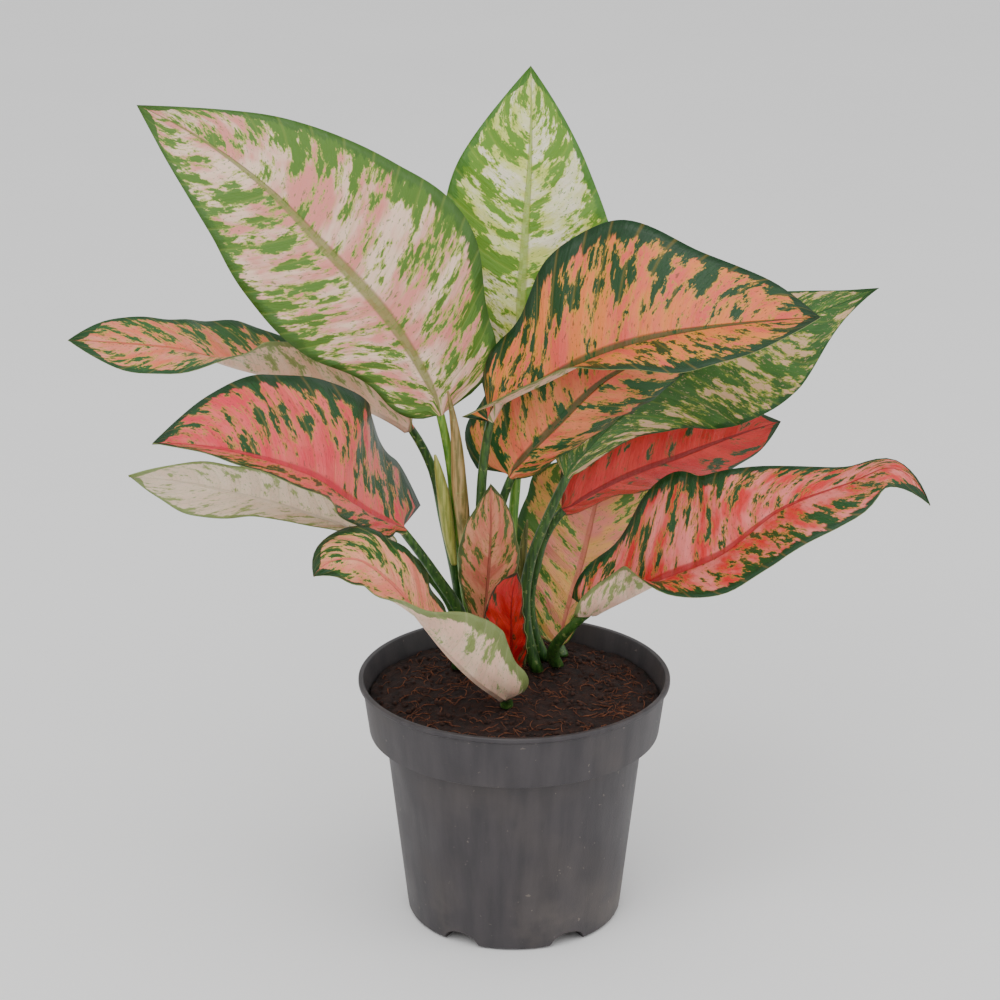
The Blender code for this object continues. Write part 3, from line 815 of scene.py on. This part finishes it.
# The leaf below it, turned so that its underside faces the front.
# It is cream and pink with yellow-green flecks, and its rib stands out.
grow_leaf(
    "leaf_left_under",
    [foot(-22, 17), (-23, 16, 116), (-35, 9, 137), (-46, 2, 149)],
    [(-46, 2, 149), (-62, -6, 161), (-76, -14, 169), (-91, -24, 178), (-104, -36, 186),
     (-118, -48, 194), (-138, -64, 202)],
    [(0, 0.6, 0.7), (0, 0.85, 0.5), (0, 0.8, 0.6)],
    Half((9, 15, 18, 17, 10), (0, 0, 0), (-10, -10, 0)),
    Half((3, 5, 8, 15, 8), (-60, -50, -20, 0), (-70, -60, -20, 0)),
    Look(
        main=(236, 212, 182), second=(226, 176, 150), halo=(190, 190, 96),
        blotch=(112, 146, 62), rim=(84, 118, 50), rib=(206, 190, 140),
        rim_width=0.1, bare=0.55, freckles=0.6,
    ),
    stalk,
    seed=13,
)

# The leaf that reaches furthest left, orange and pink above.
# Near its stalk one half folds up and shows a cream underside.
grow_leaf(
    "leaf_far_left",
    [foot(-19, 25), (-21, 23, 119), (-27, 19, 153), (-32, 17, 177), (-39, 14, 192)],
    [(-39, 14, 193), (-58, 15, 202), (-81, 9, 213), (-102, -1, 222), (-123, -14, 233),
     (-144, -22, 238), (-162, -28, 241)],
    [(0, -0.2, 1), (0, -0.3, 1), (0, -0.6, 0.7)],
    Half((10, 15, 18, 17, 10), (80, 80, 50, 10, 0), (110, 110, 80, 0, 0)),
    Half((8, 14, 22, 15, 9), (20, 30, 10, 10), (10, 30, 10, 10)),
    Look(
        main=(228, 112, 80), second=(234, 142, 118), halo=(200, 166, 76),
        blotch=(44, 92, 36), rim=(28, 74, 30), rib=(206, 98, 70),
        rim_width=0.13, bare=0.53, freckles=0.6,
    ),
    stalk,
    seed=14,
)

# ---- New growth --------------------------------------------------------------------------------
# A rolled new leaf and papery sheaths stand beside the stalks, tapering to fine points.
# They run from olive green to tan as they age.

SPINDLE_ROWS = 60
SPINDLE_SIDES = 32


def grow_spindle(name, path, radii, look):
    """A slim body along a path, with a shallow spiral seam where its edges overlap."""
    at = np.linspace(0, 1, SPINDLE_ROWS)
    line, size = smooth_path(path, at), spread(radii, at)[:, 0]
    heading = unit(np.gradient(line, at, axis=0))
    turn = np.linspace(0, 2 * np.pi, SPINDLE_SIDES, endpoint=False)
    points, faces = [], []
    for centre, ahead, radius, s in zip(line, heading, size, at):
        side = unit(np.array([1.0, 0, 0]) - ahead * ahead[0])
        over = np.cross(ahead, side)
        seam = 1 - 0.1 * np.exp(-((np.cos((turn - 4.2 - 1.5 * s) / 2) / 0.18) ** 2))
        ring = radius * 0.97 * seam[:, None]
        points.append(centre + ring * (np.cos(turn)[:, None] * side + 0.8 * np.sin(turn)[:, None] * over))
    for i in range(SPINDLE_ROWS - 1):
        for j in range(SPINDLE_SIDES):
            a, b = i * SPINDLE_SIDES + j, i * SPINDLE_SIDES + (j + 1) % SPINDLE_SIDES
            faces.append((a, b, b + SPINDLE_SIDES, a + SPINDLE_SIDES))
    top = (SPINDLE_ROWS - 1) * SPINDLE_SIDES
    faces += [tuple(range(SPINDLE_SIDES)), tuple(range(top, top + SPINDLE_SIDES))]
    obj = mesh_object(name, np.concatenate(points), faces, [look])
    belongs(obj, name)


pale_sheath = stalk_finish("pale sheath", rgb(128, 138, 60), rgb(176, 176, 96))
tan_sheath = stalk_finish("tan sheath", rgb(108, 100, 52), rgb(176, 146, 96))
olive_sheath = stalk_finish("olive sheath", rgb(70, 80, 34), rgb(120, 116, 60))
grow_spindle("sheath_left", [(-23, 9, 139), (-25, 8, 152), (-27, 7, 168), (-30, 5, 185)],
             (1.2, 2.5, 2.4, 0.5), pale_sheath)
grow_spindle("rolled_new_leaf", [(-19, 7, 135), (-19, 6, 150), (-21, 4, 175), (-22, 3, 192), (-25, 0, 212)],
             (1.2, 2.6, 3.0, 2.0, 0.4), tan_sheath)
grow_spindle("sheath_centre", [(4, 20, soil_height(4, 20) + 1.5), (2, 19, 116), (3, 17, 138), (5, 15, 155)],
             (2.6, 2.6, 2.2, 0.4), olive_sheath)

# ---- Studio ------------------------------------------------------------------------------------
# A plain pale floor that runs on past the view, one large soft light in front and above, and a
# weaker one from the right.


def pale_floor():
    made, tree, shader = new_material("pale floor")
    place = put(tree, "ShaderNodeTexCoord").outputs["Object"]
    cloud = grain(tree, place, 6.0)
    tree.links.new(mixed(tree, cloud, rgb(244, 244, 244), rgb(250, 250, 250)), shader.inputs["Base Color"])
    shader.inputs["Roughness"].default_value = 0.9
    bpy.ops.mesh.primitive_plane_add(size=30, location=(0, 0, -0.0005))
    floor = bpy.context.object
    floor.data.materials.append(made)


def area_light(name, place, size, power):
    light = bpy.data.lights.new(name, "AREA")
    light.size = size
    light.energy = power
    obj = bpy.data.objects.new(name, light)
    obj.location = place
    obj.rotation_euler = (Vector((0, 0, 0.15)) - Vector(place)).to_track_quat("-Z", "Y").to_euler()
    bpy.context.scene.collection.objects.link(obj)


pale_floor()
area_light("key", (-0.5, -1.3, 1.7), 1.6, 22)
area_light("fill", (1.6, -0.6, 0.9), 1.4, 9)
world = bpy.data.worlds.new("studio")
world.use_nodes = True
world.node_tree.nodes["Background"].inputs["Color"].default_value = (1.0, 1.0, 1.0, 1.0)
world.node_tree.nodes["Background"].inputs["Strength"].default_value = 0.9
bpy.context.scene.world = world

camera_data = bpy.data.cameras.new("camera")
camera_data.lens = 122.1
camera_data.sensor_width = 36
camera = bpy.data.objects.new("camera", camera_data)
camera.location = (-0.0055, -1.2, 0.615)
camera.rotation_euler = (math.radians(69.6), 0, 0)
bpy.context.scene.collection.objects.link(camera)
bpy.context.scene.camera = camera
